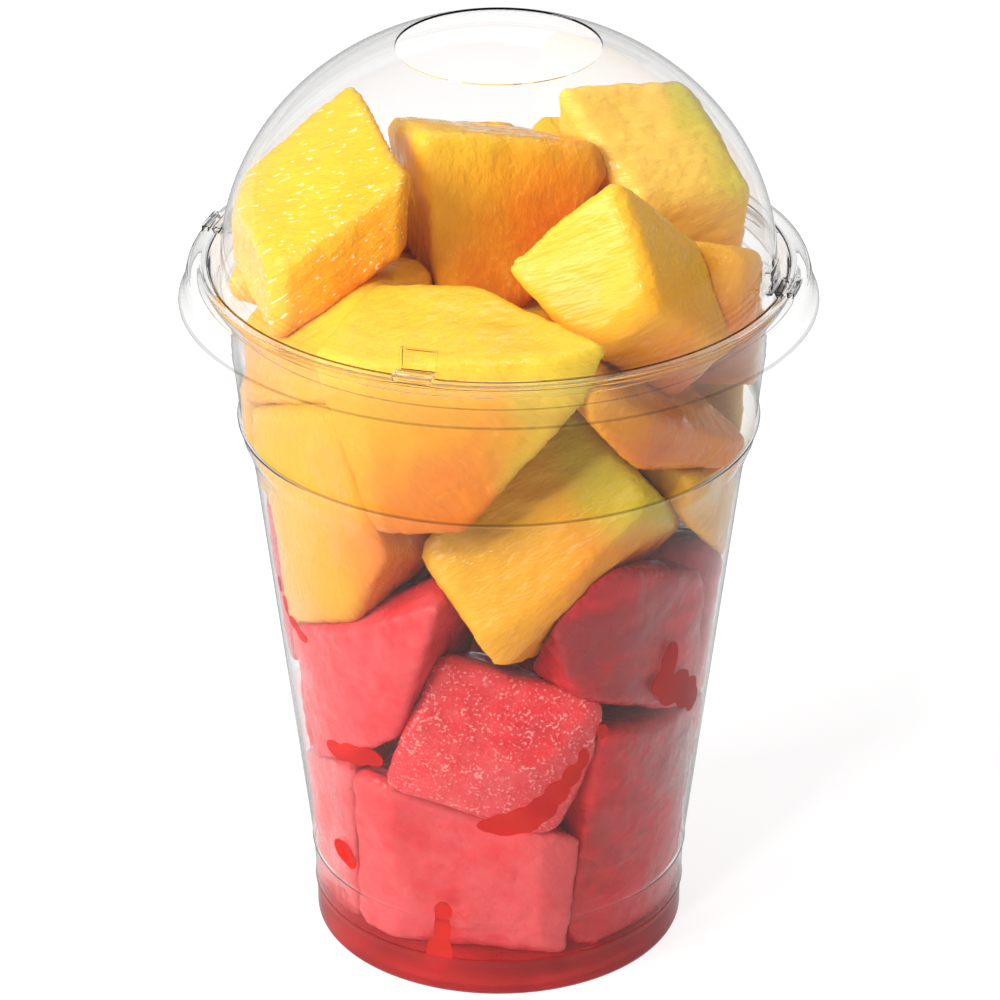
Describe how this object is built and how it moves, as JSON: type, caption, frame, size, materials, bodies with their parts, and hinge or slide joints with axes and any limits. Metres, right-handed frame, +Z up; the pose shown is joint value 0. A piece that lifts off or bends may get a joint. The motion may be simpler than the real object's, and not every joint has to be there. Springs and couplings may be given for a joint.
{
  "type": "fruit cup",
  "caption": "Clear tapered cup with a domed, open-topped lid, filled with yellow pineapple chunks over red watermelon chunks in a little juice.",
  "frame": {"origin": "centre of the cup's foot, on the plane that it stands on", "axes": "+Z up along the cup's axis; -Y is the side that the picture shows; +X is to the right of that view"},
  "size_m": [0.102, 0.102, 0.1576],
  "materials": {
    "clear_plastic": "thin clear moulded plastic, smooth and glossy",
    "pineapple_flesh": "wet, translucent, fibrous cut fruit",
    "watermelon_flesh": "wet, grainy cut fruit",
    "juice": "clear dark red juice"
  },
  "bodies": {
    "root": {"cup": "clear_plastic", "juice": "juice", "lid": "clear_plastic", "pineapple_back_left": "pineapple_flesh", "pineapple_back_right": "pineapple_flesh", "pineapple_front": "pineapple_flesh", "pineapple_low_front": "pineapple_flesh", "pineapple_low_left": "pineapple_flesh", "pineapple_low_right": "pineapple_flesh", "pineapple_middle": "pineapple_flesh", "pineapple_right": "pineapple_flesh", "pineapple_rim_back": "pineapple_flesh", "pineapple_rim_far": "pineapple_flesh", "pineapple_rim_far_left": "pineapple_flesh", "pineapple_rim_left": "pineapple_flesh", "pineapple_rim_right": "pineapple_flesh", "pineapple_rim_side": "pineapple_flesh", "pineapple_side_left": "pineapple_flesh", "pineapple_side_right": "pineapple_flesh", "pineapple_top_back": "pineapple_flesh", "pineapple_top_front": "pineapple_flesh", "pineapple_top_left": "pineapple_flesh", "pineapple_top_middle": "pineapple_flesh", "pineapple_top_right": "pineapple_flesh", "watermelon_back_left": "watermelon_flesh", "watermelon_back_right": "watermelon_flesh", "watermelon_foot_back": "watermelon_flesh", "watermelon_foot_left": "watermelon_flesh", "watermelon_foot_right": "watermelon_flesh", "watermelon_front": "watermelon_flesh", "watermelon_left": "watermelon_flesh", "watermelon_low_front": "watermelon_flesh", "watermelon_low_left": "watermelon_flesh", "watermelon_low_right": "watermelon_flesh", "watermelon_right": "watermelon_flesh", "watermelon_side_left": "watermelon_flesh", "watermelon_side_right": "watermelon_flesh"}
  },
  "joints": []
}
